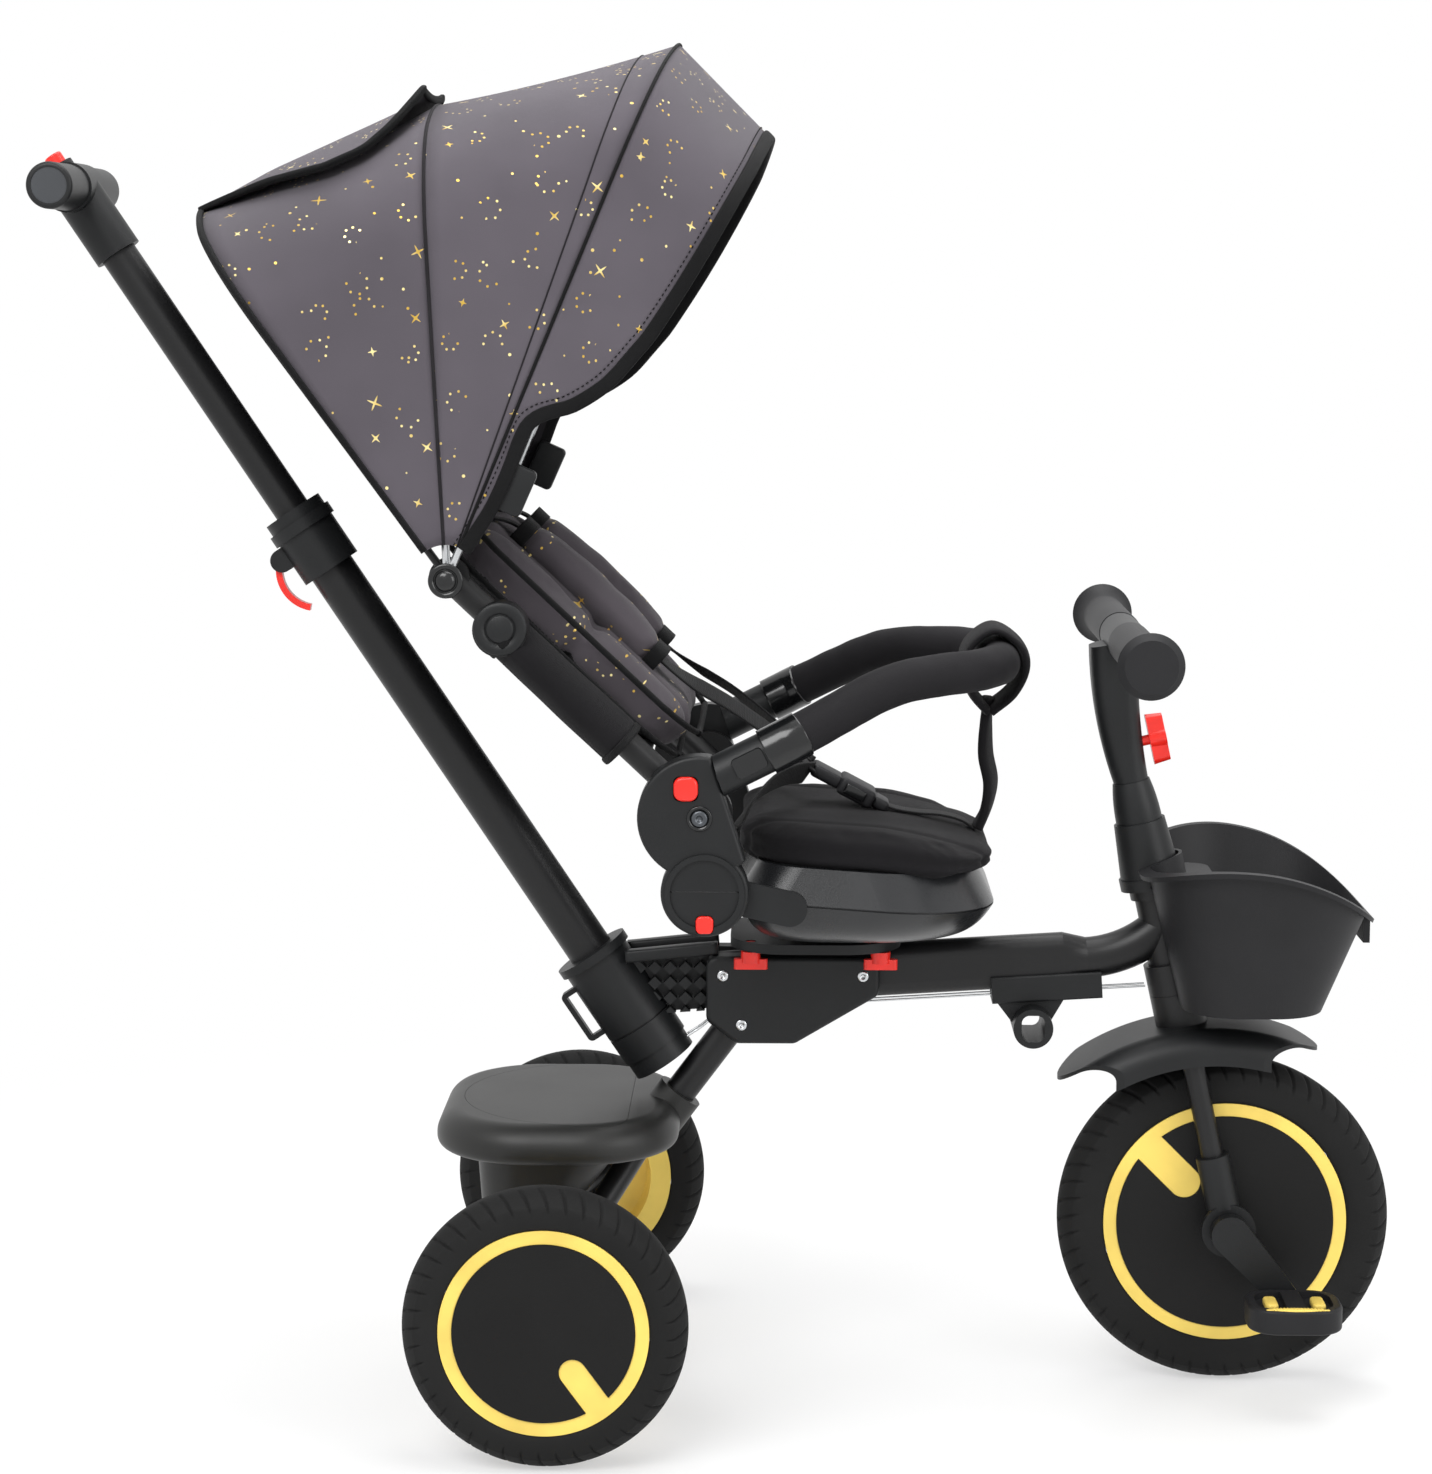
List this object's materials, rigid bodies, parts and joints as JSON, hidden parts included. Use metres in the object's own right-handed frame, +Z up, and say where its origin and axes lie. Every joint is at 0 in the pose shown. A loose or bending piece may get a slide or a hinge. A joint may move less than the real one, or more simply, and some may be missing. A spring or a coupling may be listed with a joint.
{
  "type": "push tricycle",
  "caption": "Child's push tricycle with a turning, reclining seat, folding hood, bumper bar, basket, rear box and a telescoping push bar that steers the front wheel.",
  "frame": {"origin": "on the ground under the centre of the overall length, in the middle of the width", "axes": "+X forward, +Y to the rider's left, +Z up"},
  "size_m": [1.0433, 0.49, 1.0397],
  "materials": {
    "frame_paint": "satin black",
    "black_plastic": "fine matte",
    "gloss_black": "gloss",
    "steel": "bare",
    "tyre": "matte foam rubber",
    "yellow": "satin",
    "red": "gloss",
    "box_grey": "fine matte",
    "cap_grey": "matte",
    "hood_cloth": "woven",
    "pad_cloth": "woven",
    "black_cloth": "woven",
    "foam": "foam sleeve"
  },
  "bodies": {
    "base": {"main_frame": "frame_paint", "push_socket": "black_plastic", "side_covers": "black_plastic", "rear_fork": "frame_paint", "rear_axle": "steel", "storage_box": "box_grey", "cable_guide": "black_plastic", "steering_wires": "steel", "swivel_base": "black_plastic"},
    "lid": {"box_lid": "box_grey"},
    "steering": {"fork": "frame_paint", "leg_covers": "black_plastic", "mudguard": "black_plastic", "stem_sleeve": "black_plastic", "handlebar": "black_plastic", "grips": "black_plastic", "basket": "black_plastic"},
    "stem_knob": {"bar_knob": "red"},
    "front_wheel": {"front_tyre": "tyre", "front_rim": "yellow", "front_discs": "black_plastic", "cranks": "black_plastic"},
    "right_pedal": {"pedal_right": "black_plastic"},
    "left_pedal": {"pedal_left": "black_plastic"},
    "right_rear_wheel": {"rear_tyre_right": "tyre", "rear_rim_right": "yellow", "rear_disc_right": "black_plastic"},
    "left_rear_wheel": {"rear_tyre_left": "tyre", "rear_rim_left": "yellow", "rear_disc_left": "black_plastic"},
    "push_bar": {"push_tube": "frame_paint", "clamp_collar": "black_plastic"},
    "lever": {"clamp_lever": "red"},
    "push_top": {"push_upper_tube": "frame_paint", "push_handle": "black_plastic", "grip_caps": "cap_grey"},
    "top_button": {"grip_button": "red"},
    "knob_front_left": {"wing_knob_front_left": "red"},
    "knob_front_right": {"wing_knob_front_right": "red"},
    "knob_rear_left": {"wing_knob_rear_left": "red"},
    "knob_rear_right": {"wing_knob_rear_right": "red"},
    "seat": {"turn_plate": "black_plastic", "seat_lower": "black_plastic", "seat_upper": "black_plastic", "seat_cushion": "black_cloth", "seat_ears": "black_plastic"},
    "recline_key_right": {"recline_button_right": "red"},
    "recline_key_left": {"recline_button_left": "red"},
    "disc_key_right": {"disc_button_right": "red"},
    "disc_key_left": {"disc_button_left": "red"},
    "bumper": {"bumper_ends": "black_plastic", "bumper_bar": "foam"},
    "bumper_key_right": {"bumper_button_right": "gloss_black"},
    "bumper_key_left": {"bumper_button_left": "gloss_black"},
    "backrest": {"backrest_frame": "frame_paint", "backrest_pad": "pad_cloth", "shoulder_pads": "pad_cloth", "canopy_fabric": "hood_cloth"},
    "canopy_mid": {"bow_mid": "steel"},
    "canopy_front": {"bow_front": "steel"}
  },
  "joints": [
    {"name": "steer", "type": "hinge", "parent": "base", "child": "steering", "pos_m": [0.34951, 0, 0.3111], "axis": [-0.2164, 0, 0.9763], "range_deg": [-30, 30]},
    {"name": "push_turn", "type": "hinge", "parent": "base", "child": "push_bar", "pos_m": [-0.05834, 0, 0.265], "axis": [-0.5534, 0, 0.8329], "range_deg": [-30, 30]},
    {"name": "push_extend", "type": "slide", "parent": "push_bar", "child": "push_top", "axis": [-0.5534, 0, 0.8329], "range_m": [-0.22, 0]},
    {"name": "lever_open", "type": "hinge", "parent": "push_bar", "child": "lever", "pos_m": [-0.34618, 0, 0.64764], "axis": [0, 1, 0], "range_deg": [0, 80]},
    {"name": "top_button_press", "type": "slide", "parent": "push_top", "child": "top_button", "axis": [0.5534, 0, -0.8329], "range_m": [0, 0.004], "stiffness_N_per_m": 900},
    {"name": "stem_knob_turn", "type": "hinge", "parent": "steering", "child": "stem_knob", "pos_m": [0.30655, 0, 0.5049], "axis": [0.9763, 0, 0.2164], "continuous": true},
    {"name": "front_wheel_spin", "type": "hinge", "parent": "steering", "child": "front_wheel", "pos_m": [0.38966, 0, 0.13], "axis": [0, 1, 0], "continuous": true},
    {"name": "right_pedal_spin", "type": "hinge", "parent": "front_wheel", "child": "right_pedal", "pos_m": [0.43366, 0, 0.08], "axis": [0, 1, 0], "continuous": true},
    {"name": "left_pedal_spin", "type": "hinge", "parent": "front_wheel", "child": "left_pedal", "pos_m": [0.34566, 0, 0.18], "axis": [0, 1, 0], "continuous": true},
    {"name": "right_rear_spin", "type": "hinge", "parent": "base", "child": "right_rear_wheel", "pos_m": [-0.13034, 0, 0.105], "axis": [0, 1, 0], "continuous": true},
    {"name": "left_rear_spin", "type": "hinge", "parent": "base", "child": "left_rear_wheel", "pos_m": [-0.13034, 0, 0.105], "axis": [0, 1, 0], "continuous": true},
    {"name": "lid_open", "type": "hinge", "parent": "base", "child": "lid", "pos_m": [-0.07634, 0, 0.226], "axis": [0, 1, 0], "range_deg": [0, 40]},
    {"name": "knob_front_left_turn", "type": "hinge", "parent": "base", "child": "knob_front_left", "pos_m": [0.11766, 0.05, 0.351], "axis": [0, 0, 1], "continuous": true},
    {"name": "knob_front_right_turn", "type": "hinge", "parent": "base", "child": "knob_front_right", "pos_m": [0.11766, -0.05, 0.351], "axis": [0, 0, 1], "continuous": true},
    {"name": "knob_rear_left_turn", "type": "hinge", "parent": "base", "child": "knob_rear_left", "pos_m": [0.01766, 0.05, 0.351], "axis": [0, 0, 1], "continuous": true},
    {"name": "knob_rear_right_turn", "type": "hinge", "parent": "base", "child": "knob_rear_right", "pos_m": [0.01766, -0.05, 0.351], "axis": [0, 0, 1], "continuous": true},
    {"name": "seat_turn", "type": "hinge", "parent": "base", "child": "seat", "pos_m": [0.09566, 0, 0.351], "axis": [0, 0, 1], "range_deg": [-90, 90]},
    {"name": "recline_press_right", "type": "slide", "parent": "seat", "child": "recline_key_right", "axis": [0, 1, 0], "range_m": [0, 0.0025], "stiffness_N_per_m": 900},
    {"name": "recline_press_left", "type": "slide", "parent": "seat", "child": "recline_key_left", "axis": [0, -1, 0], "range_m": [0, 0.0025], "stiffness_N_per_m": 900},
    {"name": "disc_press_right", "type": "slide", "parent": "seat", "child": "disc_key_right", "axis": [0, 1, 0], "range_m": [0, 0.0025], "stiffness_N_per_m": 900},
    {"name": "disc_press_left", "type": "slide", "parent": "seat", "child": "disc_key_left", "axis": [0, -1, 0], "range_m": [0, 0.0025], "stiffness_N_per_m": 900},
    {"name": "bumper_pull", "type": "slide", "parent": "seat", "child": "bumper", "axis": [0.8949, 0, 0.4462], "range_m": [0, 0.02]},
    {"name": "bumper_press_right", "type": "slide", "parent": "bumper", "child": "bumper_key_right", "axis": [0, 1, 0], "range_m": [0, 0.0015], "stiffness_N_per_m": 900},
    {"name": "bumper_press_left", "type": "slide", "parent": "bumper", "child": "bumper_key_left", "axis": [0, -1, 0], "range_m": [0, 0.0015], "stiffness_N_per_m": 900},
    {"name": "back_raise", "type": "hinge", "parent": "seat", "child": "backrest", "pos_m": [-0.01874, 0, 0.472], "axis": [0, 1, 0], "range_deg": [0, 30]},
    {"name": "hood_mid_fold", "type": "hinge", "parent": "backrest", "child": "canopy_mid", "pos_m": [-0.20329, 0, 0.64652], "axis": [0, 1, 0], "range_deg": [-30, 0], "deforming": ["canopy_fabric"]},
    {"name": "hood_front_fold", "type": "hinge", "parent": "canopy_mid", "child": "canopy_front", "pos_m": [-0.20329, 0, 0.64652], "axis": [0, 1, 0], "range_deg": [-22, 0], "deforming": ["canopy_fabric"]}
  ],
  "couplings": [
    {"joint": "push_turn", "follows": "steer", "ratio": 1},
    {"joint": "hood_front_fold", "follows": "hood_mid_fold", "ratio": 0.73333}
  ]
}
